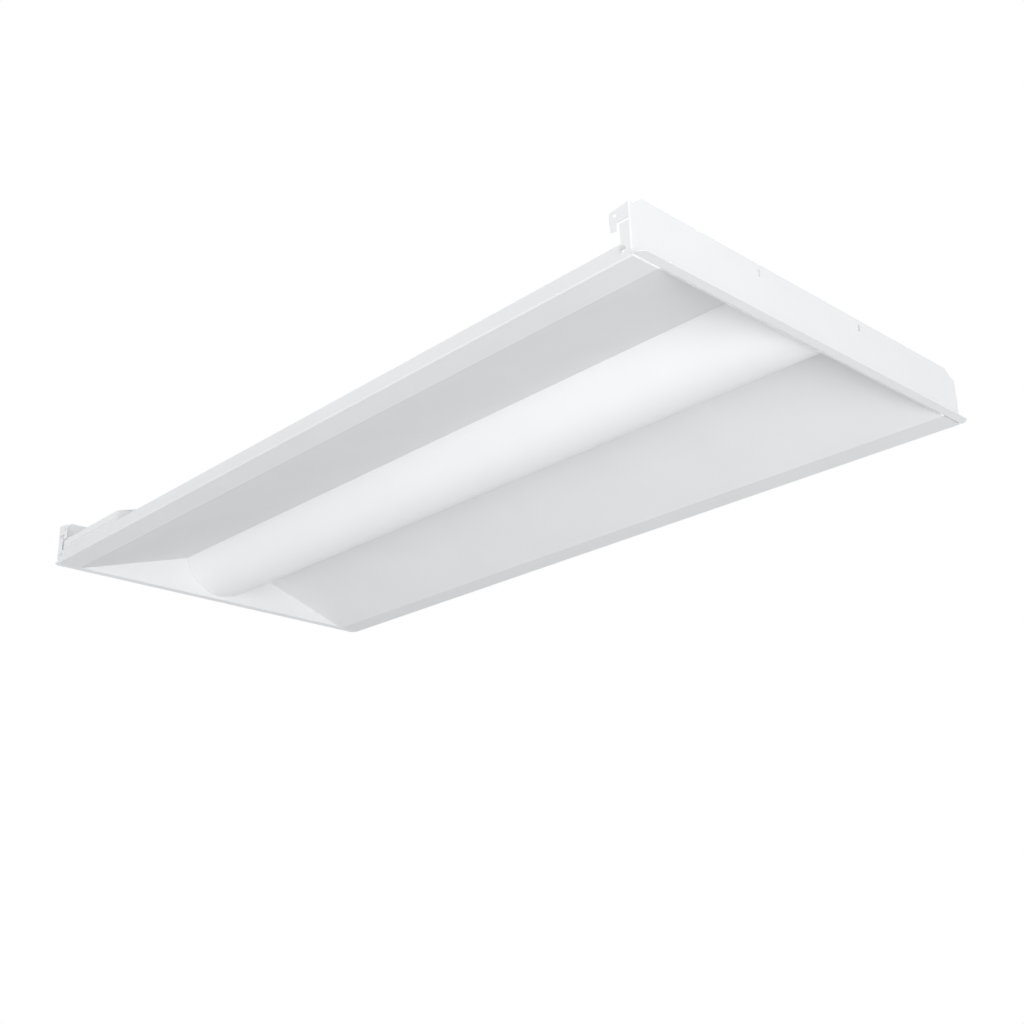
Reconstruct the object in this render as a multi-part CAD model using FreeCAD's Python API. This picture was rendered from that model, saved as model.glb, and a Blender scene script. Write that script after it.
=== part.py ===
import FreeCAD, Part
import math
import os

# Recessed troffer light for a ceiling grid, one module wide and two modules long.
# Frame: the origin is the middle of the fixture on the plane of its visible border.
# X runs along the fixture, Y across it and Z up into the ceiling space.  Millimetres.

# Overall size
fixture_length = 1213.0          # along X, over the two end flanges
fixture_width = 603.0            # along Y, over the hook brackets
fixture_height = 70.5            # from the border plane to the top of the end plates

# Sheet metal and fits
sheet = 0.8                      # painted steel sheet
inner_bend = 0.6                 # inside radius of a bend
seat_gap = 0.1                   # between sheets that lie against each other
slip_gap = 0.3                   # between the lens and what holds it
rim_gap = 0.4                    # from the inner flanges up to the rim of the tray
shank_clearance = 0.1            # round a screw or rivet in its own hole

# End plates
end_flange_width = 12.0          # flange that rests on the ceiling grid
end_flange_lift = 1.0            # underside of that flange above the side borders
plate_side_inset = 1.5           # plate edge inside the hook brackets
plate_corner_run = 18.0          # sloping top corners, across
plate_corner_drop = 13.5         # sloping top corners, down
flange_corner_cut = 7.0
top_notch_inset = 104.0          # middle of a notch from the side of the plate
top_notch_width = 6.0
top_notch_depth = 2.5

# Hook brackets, folded back from the end plates over the side lips
strip_bottom_z = 7.0
strip_top_z = 40.0
strip_width = 13.5
grid_slot_height = 3.0           # slot for the edge of the ceiling grid
arm_length = 25.9
arm_root_top_z = 60.6
arm_tip_top_z = 57.8
tooth_width = 8.2
tooth_bottom_z = 35.0
wire_hole_radius = 2.6
wire_hole_inset = 19.0           # from the face of the end plate
wire_hole_z = 52.2
bracket_screw_inset = 11.0
bracket_screw_z = 11.0

# Side reflectors: lip, flat border, sloping reflector and inner flange
lip_height = 18.5
hem_height = 6.0
border_width = 38.5
reflector_rise = 56.2            # upper edge of the sloping reflector above the border
lens_opening = 148.0
inner_flange_height = 7.3
end_tab_inset = 20.4             # middle of an end tab from the border
end_tab_width = 16.0
end_tab_top_z = 20.0
end_tab_corner = 3.0

# End reflectors
end_lean = 0.2                   # how far the face leans inward per unit of height

# Lens
lens_wall = 1.8
lens_bottom_z = 6.7
lens_edge_rise = 0.7             # edge of the curve above the edge of the reflectors
lens_end_gap = 0.5

# Tray that carries the light boards
tray_floor_rise = 3.0            # floor of the tray above the edge of the reflectors
tray_floor_half = 54.0
tray_wall_run = 8.0
tray_flange_drop = 6.0
tray_end_gap = 1.6
tray_rivet_count = 5
tray_rivet_inset = 52.0          # first rivet from the end of the tray
tray_rivet_below_rim = 3.4

# Light boards
board_end_gap = 21.7             # from the end plate to the first board
board_width = 20.0
board_thickness = 1.6
board_row_y = 30.0
board_joint_gap = 4.0
chip_pitch = 19.0
chip_length = 3.5
chip_width = 2.8
chip_height = 0.7
board_screw_count = 4
board_screw_inset = 20.0         # first screw from the end of a board
board_screw_y_shift = 6.0
connector_length = 12.0
connector_width = 9.0
connector_height = 4.2
connector_end_margin = 3.0

# Lens clips
clip_sheet = 0.5
clip_length = 30.0
clip_flange = 5.6
clip_leg = 5.2
clip_lead_in = 2.0
clip_count = 4
clip_inset = 142.0               # first clip from the end of the tray

# Centre channel over the tray
channel_width = 188.8
channel_foot = 12.0
channel_tab_height = 7.0
channel_tab_reach = 1.5          # beyond the face of the end plate
plate_slot_width = 3.0
plate_slot_height = 8.0
plate_slot_z = 60.0

# Wiring box on the front reflector
box_spare_length = 39.4          # from the driver's bracket to the end of the box
box_top_clearance = 0.2          # top of the box below the top of the end plates
box_top_lap = 14.0               # over the centre channel
box_wall_top_z = 35.0            # where the cover starts at the outer wall
box_flange = 14.0                # inward flange under the edge of the cover
box_foot_step = 2.0              # step over the foot of the channel
cover_angle = 17.0               # degrees
cover_lip = 11.0
cover_edge_gap = 0.6
cover_notch_depth = 4.0          # corner cut away so that the cover swings past a hook
cover_notch_clearance = 1.0
cover_overhang = 0.8
cover_tab_width = 30.0
cover_tab_reach = 8.0
cover_tab_inset = 28.0           # middle of a tab from the end of the cover
cover_hinge_gap = 1.4            # from the hinge line to the edge of the top plate
cover_screw_inset = 7.9          # from the outer wall of the box
cover_screw_shank = 2.0
cover_screw_length = 7.0
cover_screw_slack = 0.6

# Knock-outs for the supply conduit
knockout_radius = 11.1
knockout_beyond_channel = 55.6   # middle of the knock-outs from the side of the channel
knockout_z = 51.5

# Driver, on its bracket
bracket_end_gap = 3.6
bracket_foot = 10.0
bracket_foot_s = 20.0            # up the reflector from the border
bracket_rise = 6.0
bracket_flange = 9.0
driver_length = 110.0
driver_width = 60.0
driver_height = 28.0
driver_corner = 2.5
driver_margin_s = 4.0
driver_ear = 11.0
driver_ear_width = 34.0
driver_ear_sheet = 1.0
driver_end_margin = 15.0
terminal_length = 8.0
terminal_width = 22.0
terminal_height = 12.0
terminal_lift = 7.0
terminal_slots = 3
terminal_slot_radius = 1.4

# Terminal block and earth screw
block_length = 34.0
block_width = 20.0
block_height = 13.0
block_poles = 3
block_well_radius = 2.1
block_well_depth = 2.4
block_mouth_depth = 6.0
block_gap = 14.0                 # from the driver
block_end_margin = 40.0
earth_screw_end_margin = 12.0

# Bushes and leads
bush_hole_radius = 4.5
bush_collar = 1.4
bush_collar_height = 1.2
bush_wall = 1.2
channel_bush_gap = 18.0          # from the driver's bracket
channel_bush_z = 60.4
tray_bush_inset = 93.7           # from the end plate
lead_radius = 1.1
lead_hole_radius = 1.2
lead_entry = 2.5                 # how far a lead reaches into a connector
jumper_shift = 2.0               # jumpers stand back from the middle of the connector
lead_spacing = 3.2
lead_bend = 7.0
tight_lead_bend = 3.5
lead_stub = 14.0                 # straight run out of the driver and into a connector
bush_turn = 40.0                 # from the channel to where a lead turns to its bush
bush_stub = 8.0                  # straight run on each side of the channel's wall
rim_start = 17.0                 # leads over the rim of the tray, from the channel
rim_end = 34.0
rim_drift = 3.0                  # shift along the tray on its rim
floor_start = 48.0               # leads down on the floor of the tray, from the channel
floor_drift = 22.0
supply_turn = 8.0                # supply leads turn this far from the driver
supply_run_gap = 3.0             # and run this far beside it
block_stub = 4.0                 # straight run on each side of the block's face

# Fasteners
rivet_radius = 1.6
rivet_head_radius = 2.8
rivet_head_height = 0.8
screw_radius = 2.0
screw_head_radius = 3.4
screw_head_height = 1.3
low_head_height = 0.9
rivet_taper = 0.6                # width of a rivet's head at its top, as a share of its foot
small_sides = 12                 # flats that stand for the curve of a small round part
lead_sides = 6                   # and for the curve of a lead

# Places that follow from the sizes above
plate_outer_x = fixture_length / 2 - end_flange_width
plate_inner_x = plate_outer_x - sheet
inside_end_x = plate_inner_x - seat_gap
reflector_end_x = plate_inner_x - inner_bend
bracket_outer_y = fixture_width / 2
plate_half_width = bracket_outer_y - plate_side_inset
lip_outer_y = bracket_outer_y - sheet - seat_gap
border_inner_y = lip_outer_y - border_width
opening_half = lens_opening / 2
slope = reflector_rise / (border_inner_y - opening_half)
slope_angle = math.atan(slope)
slope_cos = math.cos(slope_angle)
slope_sin = math.sin(slope_angle)
end_tab_y = border_inner_y - end_tab_inset
inner_flange_top_z = reflector_rise + inner_flange_height
tray_floor_z = reflector_rise + tray_floor_rise
tray_rim_z = inner_flange_top_z + rim_gap
tray_side_y = opening_half + sheet + seat_gap
tray_rivet_z = tray_rim_z - tray_rivet_below_rim
tray_end_x = plate_inner_x - tray_end_gap
board_length = plate_inner_x - board_end_gap - board_joint_gap / 2
chip_count = round(board_length / chip_pitch)
lens_half_width = opening_half - slip_gap
lens_edge_z = reflector_rise + lens_edge_rise
lens_top_z = tray_rim_z - slip_gap
channel_half = channel_width / 2
channel_top_z = fixture_height - box_top_clearance - sheet - seat_gap
box_top_z = fixture_height - box_top_clearance
box_outer_y = lip_outer_y - 2 * sheet - seat_gap
bracket_start_x = bracket_end_gap - plate_inner_x
bracket_end_x = bracket_start_x + driver_length + 2 * driver_end_margin
box_end_x = bracket_end_x + box_spare_length
cover_slope = math.tan(math.radians(cover_angle))
cover_cos = math.cos(math.radians(cover_angle))
cover_top_z = box_top_z - sheet - seat_gap
hinge_y = -(box_outer_y - (cover_top_z - box_wall_top_z) / cover_slope)
cover_screw_y = box_outer_y - cover_screw_inset
knockout_y = channel_half + knockout_beyond_channel
bracket_top_n = seat_gap + bracket_rise + sheet
driver_start_x = bracket_start_x + driver_end_margin
driver_s = bracket_foot_s + bracket_foot + driver_margin_s
block_s = driver_s + driver_width + block_gap
channel_bush_x = bracket_end_x + channel_bush_gap
tray_bush_x = tray_bush_inset - plate_inner_x

UP = FreeCAD.Vector(0, 0, 1)
ALONG = FreeCAD.Vector(1, 0, 0)
ACROSS = FreeCAD.Vector(0, 1, 0)


# ---- basic shapes ----

def block(x0, x1, y0, y1, z0, z1):
    corner = FreeCAD.Vector(min(x0, x1), min(y0, y1), min(z0, z1))
    return Part.makeBox(abs(x1 - x0), abs(y1 - y0), abs(z1 - z0), corner)


def ring(radius, centre, normal, sides):
    """Regular flat-sided outline round a point, square to a direction."""
    across = normal.cross(ALONG if abs(normal.z) > abs(normal.x) else UP).normalize()
    other = normal.cross(across)
    points = []
    for i in range(sides):
        turn = 2 * math.pi * i / sides
        points.append(centre + across * (radius * math.cos(turn)) + other * (radius * math.sin(turn)))
    return Part.makePolygon(points + points[:1])


def rod(radius, start, direction, length, sides=small_sides):
    """Small round bar, its curve made of flats."""
    return Part.Face(ring(radius, FreeCAD.Vector(*start), direction, sides)).extrude(direction * length)


def joined(shapes):
    """Shapes made into one solid, with seams between coplanar faces removed."""
    whole = shapes[0].fuse(shapes[1:]) if len(shapes) > 1 else shapes[0]
    return whole.removeSplitter()


def group(solids):
    """Separate solids kept together in one node."""
    return Part.makeCompound(solids)


def mirrored_x(shape):
    return shape.mirror(FreeCAD.Vector(0, 0, 0), ALONG)


def mirrored_y(shape):
    return shape.mirror(FreeCAD.Vector(0, 0, 0), ACROSS)


def in_plane(axis, level, pair):
    """A flat point on the plane at one level of an axis, as a point in space."""
    first, second = pair
    if axis == "x":
        return FreeCAD.Vector(level, first, second)
    if axis == "y":
        return FreeCAD.Vector(first, level, second)
    return FreeCAD.Vector(first, second, level)


def sweep(face, axis, length):
    directions = {"x": ALONG, "y": ACROSS, "z": UP}
    return face.extrude(directions[axis] * length)


def prism(axis, start, end, corners):
    """A straight-sided solid over a flat outline, from start to end of an axis."""
    points = [in_plane(axis, start, pair) for pair in corners]
    outline = Part.makePolygon(points + points[:1])
    return sweep(Part.Face(outline), axis, end - start)


# ---- bent sheet ----

def direction(start, end):
    length = math.hypot(end[0] - start[0], end[1] - start[1])
    return ((end[0] - start[0]) / length, (end[1] - start[1]) / length)


def moved_right(path, distance, closed=False):
    """The same path moved sideways to its right, with mitred corners."""
    moved = []
    last = len(path) - 1
    for i, here in enumerate(path):
        if closed:
            before = direction(path[i - 1], here)
            after = direction(here, path[(i + 1) % len(path)])
        else:
            before = direction(path[max(i - 1, 0)], path[max(i, 1)])
            after = direction(path[min(i, last - 1)], path[min(i + 1, last)])
        normal_sum = (before[1] + after[1], -before[0] - after[0])
        reach = distance / (1 + before[0] * after[0] + before[1] * after[1])
        moved.append((here[0] + normal_sum[0] * reach, here[1] + normal_sum[1] * reach))
    return moved


def rounded_edges(path, left_turn_radius, right_turn_radius, place):
    """Edges of a path whose corners are tangent arcs."""
    edges = []
    start = path[0]
    for i in range(1, len(path) - 1):
        before = direction(path[i - 1], path[i])
        after = direction(path[i], path[i + 1])
        cross = before[0] * after[1] - before[1] * after[0]
        dot = before[0] * after[0] + before[1] * after[1]
        half_turn = math.atan2(abs(cross), dot) / 2
        radius = left_turn_radius if cross > 0 else right_turn_radius
        reach = radius * math.tan(half_turn)
        sagitta = radius / math.cos(half_turn) - radius
        toward = direction(before, after)
        corner = path[i]
        enter = (corner[0] - before[0] * reach, corner[1] - before[1] * reach)
        middle = (corner[0] + toward[0] * sagitta, corner[1] + toward[1] * sagitta)
        leave = (corner[0] + after[0] * reach, corner[1] + after[1] * reach)
        edges.append(Part.LineSegment(place(start), place(enter)).toShape())
        edges.append(Part.Arc(place(enter), place(middle), place(leave)).toShape())
        start = leave
    edges.append(Part.LineSegment(place(start), place(path[-1])).toShape())
    return edges


def bent_sheet(axis, start, end, path, thickness=sheet, radius=inner_bend):
    """Sheet bent along a path, with its thickness to the right of the path."""
    def place(pair):
        return in_plane(axis, start, pair)

    outer = radius + thickness
    other_side = moved_right(path, thickness)[::-1]
    edges = rounded_edges(path, radius, outer, place)
    edges.append(Part.LineSegment(place(path[-1]), place(other_side[0])).toShape())
    edges += rounded_edges(other_side, radius, outer, place)
    edges.append(Part.LineSegment(place(other_side[-1]), place(path[0])).toShape())
    return sweep(Part.Face(Part.Wire(edges)), axis, end - start)


# ---- fasteners ----

def rivet(seat, outward, grip):
    """Rivet with its head on a surface and a flush tail at the end of its grip."""
    seat = FreeCAD.Vector(*seat)
    foot = ring(rivet_head_radius, seat, outward, small_sides)
    top = ring(rivet_head_radius * rivet_taper, seat + outward * rivet_head_height, outward, small_sides)
    head = Part.makeLoft([foot, top], True, True)
    return joined([rod(rivet_radius, seat, outward * -1, grip), head])


def screw(seat, outward, length, head_height=screw_head_height, shank_radius=screw_radius):
    """Screw with its head on the seat."""
    seat = FreeCAD.Vector(*seat)
    head = rod(screw_head_radius, seat, outward, head_height)
    return joined([rod(shank_radius, seat, outward * -1, length), head])


def hole(seat, axis_direction, radius):
    """Cutter for a fastener's hole through thin sheet at one point."""
    depth = 4 * sheet
    start = FreeCAD.Vector(*seat) - axis_direction * depth
    return rod(radius, start, axis_direction, 2 * depth)


def round_hole(seat, axis_direction, radius):
    """Cutter for a true round hole through thin sheet at one point."""
    depth = 4 * sheet
    start = FreeCAD.Vector(*seat) - axis_direction * depth
    return Part.makeCylinder(radius, 2 * depth, start, axis_direction)


# ---- places on the sloping reflector ----

def reflector_under_z(y):
    return (border_inner_y - abs(y)) * slope


def reflector_top_z(y):
    return reflector_under_z(y) + sheet / slope_cos


def on_front_reflector(shape):
    """Take a shape from (x, up the slope, off the surface) to the front reflector."""
    laid = shape.copy()
    laid.rotate(FreeCAD.Vector(0, 0, 0), ALONG, math.degrees(slope_angle))
    laid.translate(FreeCAD.Vector(0, -border_inner_y, sheet / slope_cos))
    return laid


def slope_point(x, s, n):
    """A point given along the front reflector, as a point in space."""
    y = -border_inner_y + s * slope_cos - n * slope_sin
    z = sheet / slope_cos + s * slope_sin + n * slope_cos
    return FreeCAD.Vector(x, y, z)


# ---- housing ----

def make_side_reflector():
    """Back reflector: hemmed lip, border, sloping reflector, inner flange, end tabs."""
    path = [
        (lip_outer_y, lip_height),
        (lip_outer_y, 0),
        (border_inner_y, 0),
        (opening_half, reflector_rise),
        (opening_half, inner_flange_top_z),
    ]
    body = bent_sheet("x", -reflector_end_x, reflector_end_x, path)
    hem = block(-reflector_end_x, reflector_end_x, lip_outer_y - 2 * sheet, lip_outer_y - sheet,
                lip_height - hem_height, lip_height)
    tab_left = end_tab_y - end_tab_width / 2
    tab_right = end_tab_y + end_tab_width / 2
    tab_outline = [
        (tab_left, reflector_under_z(tab_left) + sheet / 2),
        (tab_right, reflector_under_z(tab_right) + sheet / 2),
        (tab_right, end_tab_top_z - end_tab_corner),
        (tab_right - end_tab_corner, end_tab_top_z),
        (tab_left + end_tab_corner, end_tab_top_z),
        (tab_left, end_tab_top_z - end_tab_corner),
    ]
    tab = prism("x", inside_end_x - sheet, inside_end_x, tab_outline)
    shape = joined([body, hem, tab, mirrored_x(tab)])
    top_edges = [edge for edge in shape.Edges if is_hem_edge(edge)]
    shape = shape.makeFillet(sheet * 0.7, top_edges)
    for end in (-1, 1):
        rivet_place = (end * inside_end_x, end_tab_y, bracket_rivet_z())
        shape = shape.cut(hole(rivet_place, ALONG, rivet_radius + shank_clearance))
        screw_place = (end * (plate_outer_x - bracket_screw_inset), lip_outer_y, bracket_screw_z)
        shape = shape.cut(hole(screw_place, ACROSS, screw_radius + shank_clearance))
    for x in tray_rivet_places():
        place = (x, tray_side_y, tray_rivet_z)
        shape = shape.cut(hole(place, ACROSS, rivet_radius + shank_clearance))
    return shape


def bracket_rivet_z():
    """Height of the rivet in the end tab, midway up its clear part."""
    return (reflector_top_z(end_tab_y) + end_tab_top_z) / 2


def is_hem_edge(edge):
    box = edge.BoundBox
    long_enough = box.XLength > fixture_length / 2
    return long_enough and abs(box.ZMin - lip_height) < 0.01 and abs(box.ZMax - lip_height) < 0.01


def make_hook_bracket():
    """Return flange of the right end plate at its back corner, shaped as a hook."""
    corner = [
        (plate_outer_x, plate_half_width - 6 * sheet),
        (plate_outer_x, bracket_outer_y),
        (plate_outer_x - arm_length, bracket_outer_y),
    ]
    folded = bent_sheet("z", strip_bottom_z, arm_root_top_z, corner[::-1])
    arm_tip_x = plate_outer_x - arm_length
    tooth_x = arm_tip_x + tooth_width
    strip_x = plate_outer_x - strip_width
    arm_bottom_z = strip_top_z + grid_slot_height
    outline = [
        (plate_outer_x, strip_bottom_z),
        (plate_outer_x, arm_root_top_z),
        (arm_tip_x, arm_tip_top_z),
        (arm_tip_x, tooth_bottom_z + 2 * sheet),
        (arm_tip_x + 2 * sheet, tooth_bottom_z),
        (tooth_x, tooth_bottom_z),
        (tooth_x, arm_bottom_z),
        (plate_outer_x - 2 * sheet, arm_bottom_z),
        (plate_outer_x - 2 * sheet, strip_top_z),
        (strip_x, strip_top_z),
        (strip_x, strip_bottom_z),
    ]
    profile = prism("y", 0, fixture_width, outline)
    shape = folded.common(profile)
    wire_place = (plate_outer_x - wire_hole_inset, bracket_outer_y, wire_hole_z)
    screw_place = (plate_outer_x - bracket_screw_inset, bracket_outer_y, bracket_screw_z)
    shape = shape.cut(round_hole(wire_place, ACROSS, wire_hole_radius))
    return shape.cut(hole(screw_place, ACROSS, screw_radius + shank_clearance))


def make_end_pressing():
    """Right end pressing: upright plate, grid flange, and a hook bracket at each corner."""
    path = [
        (plate_inner_x, fixture_height),
        (plate_inner_x, end_flange_lift),
        (fixture_length / 2, end_flange_lift),
    ]
    folded = bent_sheet("y", -bracket_outer_y, bracket_outer_y, path[::-1])
    shoulder_z = fixture_height - plate_corner_drop
    shoulder_y = plate_half_width - plate_corner_run
    top_notch_y = plate_half_width - top_notch_inset
    outline = []
    for side in (-1, 1):
        notch = [
            (side * (top_notch_y + top_notch_width / 2), fixture_height),
            (side * top_notch_y, fixture_height - top_notch_depth),
            (side * (top_notch_y - top_notch_width / 2), fixture_height),
        ]
        edge = [(side * plate_half_width, 0), (side * plate_half_width, shoulder_z)]
        run = edge + [(side * shoulder_y, fixture_height)] + notch
        outline += run if side < 0 else run[::-1]
    plate_part = folded.common(prism("x", plate_inner_x - sheet, plate_outer_x, outline))
    half_length = fixture_length / 2
    clipped = [
        (plate_outer_x, -bracket_outer_y),
        (half_length - flange_corner_cut, -bracket_outer_y),
        (half_length, flange_corner_cut - bracket_outer_y),
        (half_length, bracket_outer_y - flange_corner_cut),
        (half_length - flange_corner_cut, bracket_outer_y),
        (plate_outer_x, bracket_outer_y),
    ]
    flange_part = folded.common(prism("z", 0, end_flange_lift + 3 * sheet, clipped))
    bracket = make_hook_bracket()
    shape = joined([plate_part, flange_part, bracket, mirrored_y(bracket)])
    for side in (-1, 1):
        rivet_place = (plate_outer_x, side * end_tab_y, bracket_rivet_z())
        shape = shape.cut(hole(rivet_place, ALONG, rivet_radius + shank_clearance))
        middle_y = side * (channel_half - sheet / 2)
        slot = block(plate_inner_x - sheet, plate_outer_x + sheet,
                     middle_y - plate_slot_width / 2, middle_y + plate_slot_width / 2,
                     plate_slot_z - plate_slot_height / 2, plate_slot_z + plate_slot_height / 2)
        shape = shape.cut(slot)
    return shape


def split_end_pressing():
    """The right end pressing as three shapes that meet at its bends, so that each is simple."""
    pressing = make_end_pressing()
    far = fixture_length
    bend_z = end_flange_lift + sheet + inner_bend
    bend_y = bracket_outer_y - sheet - inner_bend
    flange = pressing.common(block(0, far, -far, far, 0, bend_z))
    upright = pressing.cut(block(0, far, -far, far, -far, bend_z))
    middle = block(0, far, -bend_y, bend_y, 0, far)
    return upright.common(middle), flange, upright.cut(middle)


def make_supply_hole():
    """Cutter for the supply knock-out in the left end plate, open into the wiring box."""
    return round_hole((-plate_outer_x, -knockout_y, knockout_z), ALONG, knockout_radius)


def end_face_x(z):
    """Visible face of the right end reflector at one height."""
    return inside_end_x - sheet - end_lean * (z - end_flange_lift)


def make_end_reflector():
    """Right end reflector: a leaning face with flanges back to the end plate."""
    gap = seat_gap / slope_cos
    foot_y = border_inner_y - (end_flange_lift + gap) / slope
    edge_y = opening_half - seat_gap
    outline = [
        (-foot_y, end_flange_lift),
        (-edge_y, reflector_under_z(edge_y) - gap),
        (-edge_y, tray_floor_z - seat_gap),
        (edge_y, tray_floor_z - seat_gap),
        (edge_y, reflector_under_z(edge_y) - gap),
        (foot_y, end_flange_lift),
    ]
    back = inside_end_x + 10 * sheet
    low, high = -fixture_height, 2 * fixture_height

    def leaning(shift):
        corners = [
            (end_face_x(low) + shift, low),
            (back, low),
            (back, high),
            (end_face_x(high) + shift, high),
        ]
        return prism("y", -fixture_width, fixture_width, corners)

    face_shift = sheet * math.hypot(1, end_lean)
    depth_start = end_face_x(fixture_height) - 10 * sheet
    outer = prism("x", depth_start, inside_end_x, outline).common(leaning(0))
    inner_outline = moved_right(outline, sheet, closed=True)
    inner = prism("x", depth_start, back, inner_outline).common(leaning(face_shift))
    return outer.cut(inner)


# ---- light source and lens ----

def lens_outline(half_width, edge_z, bottom_z, place):
    """Edges from one top corner of the lens, round its curve, to the other."""
    return [
        Part.LineSegment(place((half_width, lens_top_z)), place((half_width, edge_z))).toShape(),
        Part.Arc(place((half_width, edge_z)), place((0, bottom_z)), place((-half_width, edge_z))).toShape(),
        Part.LineSegment(place((-half_width, edge_z)), place((-half_width, lens_top_z))).toShape(),
    ]


def make_lens():
    """Curved lens with upright edges, its ends cut to the lean of the end reflectors."""
    def place(pair):
        return in_plane("x", -fixture_length / 2, pair)

    rise = lens_edge_z - lens_bottom_z
    radius = (lens_half_width ** 2 + rise ** 2) / (2 * rise)
    centre_z = lens_bottom_z + radius
    inner_half = lens_half_width - lens_wall
    inner_edge_z = centre_z - math.sqrt((radius - lens_wall) ** 2 - inner_half ** 2)
    outer = lens_outline(lens_half_width, lens_edge_z, lens_bottom_z, place)
    inner = lens_outline(inner_half, inner_edge_z, lens_bottom_z + lens_wall, place)
    rims = [
        Part.LineSegment(place((side * lens_half_width, lens_top_z)),
                         place((side * inner_half, lens_top_z))).toShape()
        for side in (-1, 1)
    ]
    edges = Part.sortEdges(outer + inner + rims)[0]
    tube = sweep(Part.Face(Part.Wire(edges)), "x", fixture_length)
    ends = [
        (-end_face_x(0) + lens_end_gap, 0),
        (end_face_x(0) - lens_end_gap, 0),
        (end_face_x(fixture_height) - lens_end_gap, fixture_height),
        (-end_face_x(fixture_height) + lens_end_gap, fixture_height),
    ]
    return tube.common(prism("y", -fixture_width / 2, fixture_width / 2, ends))


def spaced(count, half_span):
    """Even places from one end of a span to the other, with its middle at zero."""
    return [half_span * (2 * i / (count - 1) - 1) for i in range(count)]


def tray_rivet_places():
    return spaced(tray_rivet_count, tray_end_x - tray_rivet_inset)


def make_led_tray():
    """Shallow trough that hangs between the inner flanges of the two reflectors."""
    wall_y = tray_floor_half + tray_wall_run
    right_half = [
        (tray_side_y, tray_rim_z - tray_flange_drop),
        (tray_side_y, tray_rim_z),
        (wall_y, tray_rim_z),
        (tray_floor_half, tray_floor_z),
    ]
    left_half = [(-y, z) for y, z in right_half[::-1]]
    shape = bent_sheet("x", -tray_end_x, tray_end_x, right_half + left_half)
    for x in tray_rivet_places():
        for side in (-1, 1):
            place = (x, side * tray_side_y, tray_rivet_z)
            shape = shape.cut(hole(place, ACROSS, rivet_radius + shank_clearance))
    for x, y in board_screw_places():
        shape = shape.cut(hole((x, y, tray_floor_z), UP, rivet_radius + shank_clearance))
    return shape.cut(hole((tray_bush_x, 0, tray_floor_z), UP, bush_hole_radius))


def board_rows():
    """Each board's name, its middle along X and its row's place across."""
    shift = (board_length + board_joint_gap) / 2
    return [
        ("led_board_front_left", -shift, -board_row_y),
        ("led_board_front_right", shift, -board_row_y),
        ("led_board_back_left", -shift, board_row_y),
        ("led_board_back_right", shift, board_row_y),
    ]


def board_screw_places():
    """Screws stand beside the chips, on the edge of each board nearest the middle."""
    places = []
    for _, middle_x, row_y in board_rows():
        edge_y = row_y - math.copysign(board_screw_y_shift, row_y)
        for shift in spaced(board_screw_count, board_length / 2 - board_screw_inset):
            places.append((middle_x + shift, edge_y))
    return places


def make_board(middle_x, row_y):
    bottom = tray_floor_z - board_thickness
    board = block(middle_x - board_length / 2, middle_x + board_length / 2,
                  row_y - board_width / 2, row_y + board_width / 2, bottom, tray_floor_z)
    for x, y in board_screw_places():
        if abs(x - middle_x) < board_length / 2 and abs(y - row_y) < board_width / 2:
            board = board.cut(hole((x, y, bottom), UP, rivet_radius + shank_clearance))
    return board


def make_chips():
    """Light chips in one row under each board."""
    top = tray_floor_z - board_thickness
    chips = []
    half_row = chip_pitch * (chip_count - 1) / 2
    for _, middle_x, row_y in board_rows():
        chip_y = row_y + math.copysign(chip_width, row_y)
        for shift in spaced(chip_count, half_row):
            x = middle_x + shift
            chips.append(block(x - chip_length / 2, x + chip_length / 2,
                               chip_y - chip_width / 2, chip_y + chip_width / 2,
                               top - chip_height, top))
    return group(chips)


def make_board_screws():
    """Short screws through the boards into the floor of the tray."""
    seat_z = tray_floor_z - board_thickness
    length = board_thickness + 2 * sheet
    return group([
        screw((x, y, seat_z), UP * -1, length, low_head_height, rivet_radius)
        for x, y in board_screw_places()
    ])


def connector_z():
    """Height of the leads where they enter the connectors."""
    return tray_floor_z - board_thickness - connector_height / 2


def connector_places():
    """One lead connector at the outer end of each left board."""
    outer_x = -(board_length + board_joint_gap / 2)
    x = outer_x + connector_end_margin + connector_length / 2
    return [(x, row_y - math.copysign(board_width / 2 - connector_width / 2, row_y))
            for row_y in (-board_row_y, board_row_y)]


def make_board_connectors():
    """Lead connectors, and bridges that join the two boards of each row."""
    top = tray_floor_z - board_thickness
    pieces = []
    for x, y in connector_places():
        body = block(x - connector_length / 2, x + connector_length / 2,
                     y - connector_width / 2, y + connector_width / 2, top - connector_height, top)
        for shift in (-lead_spacing / 2, lead_spacing / 2):
            if y < 0:
                entry = (x + connector_length / 2 - lead_entry, y + shift, connector_z())
                body = body.cut(rod(lead_hole_radius, entry, ALONG, connector_length))
            inner_y = y - math.copysign(connector_width / 2 - lead_entry, y)
            inward = ACROSS * -math.copysign(1, y)
            jumper_entry = (x - jumper_shift + shift, inner_y, connector_z())
            body = body.cut(rod(lead_hole_radius, jumper_entry, inward, connector_length))
        pieces.append(body)
    for row_y in (-board_row_y, board_row_y):
        bridge_y = row_y - math.copysign(board_width / 2 - connector_width / 2, row_y)
        pieces.append(block(-connector_length / 2, connector_length / 2,
                            bridge_y - connector_width / 2, bridge_y + connector_width / 2,
                            top - connector_height / 2, top))
    return group(pieces)


def make_tray_rivets():
    grip = 2 * sheet + seat_gap
    outer_y = tray_side_y + sheet
    rivets = []
    for x in tray_rivet_places():
        rivets.append(rivet((x, outer_y, tray_rivet_z), ACROSS, grip))
        rivets.append(rivet((x, -outer_y, tray_rivet_z), ACROSS * -1, grip))
    return group(rivets)


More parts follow.
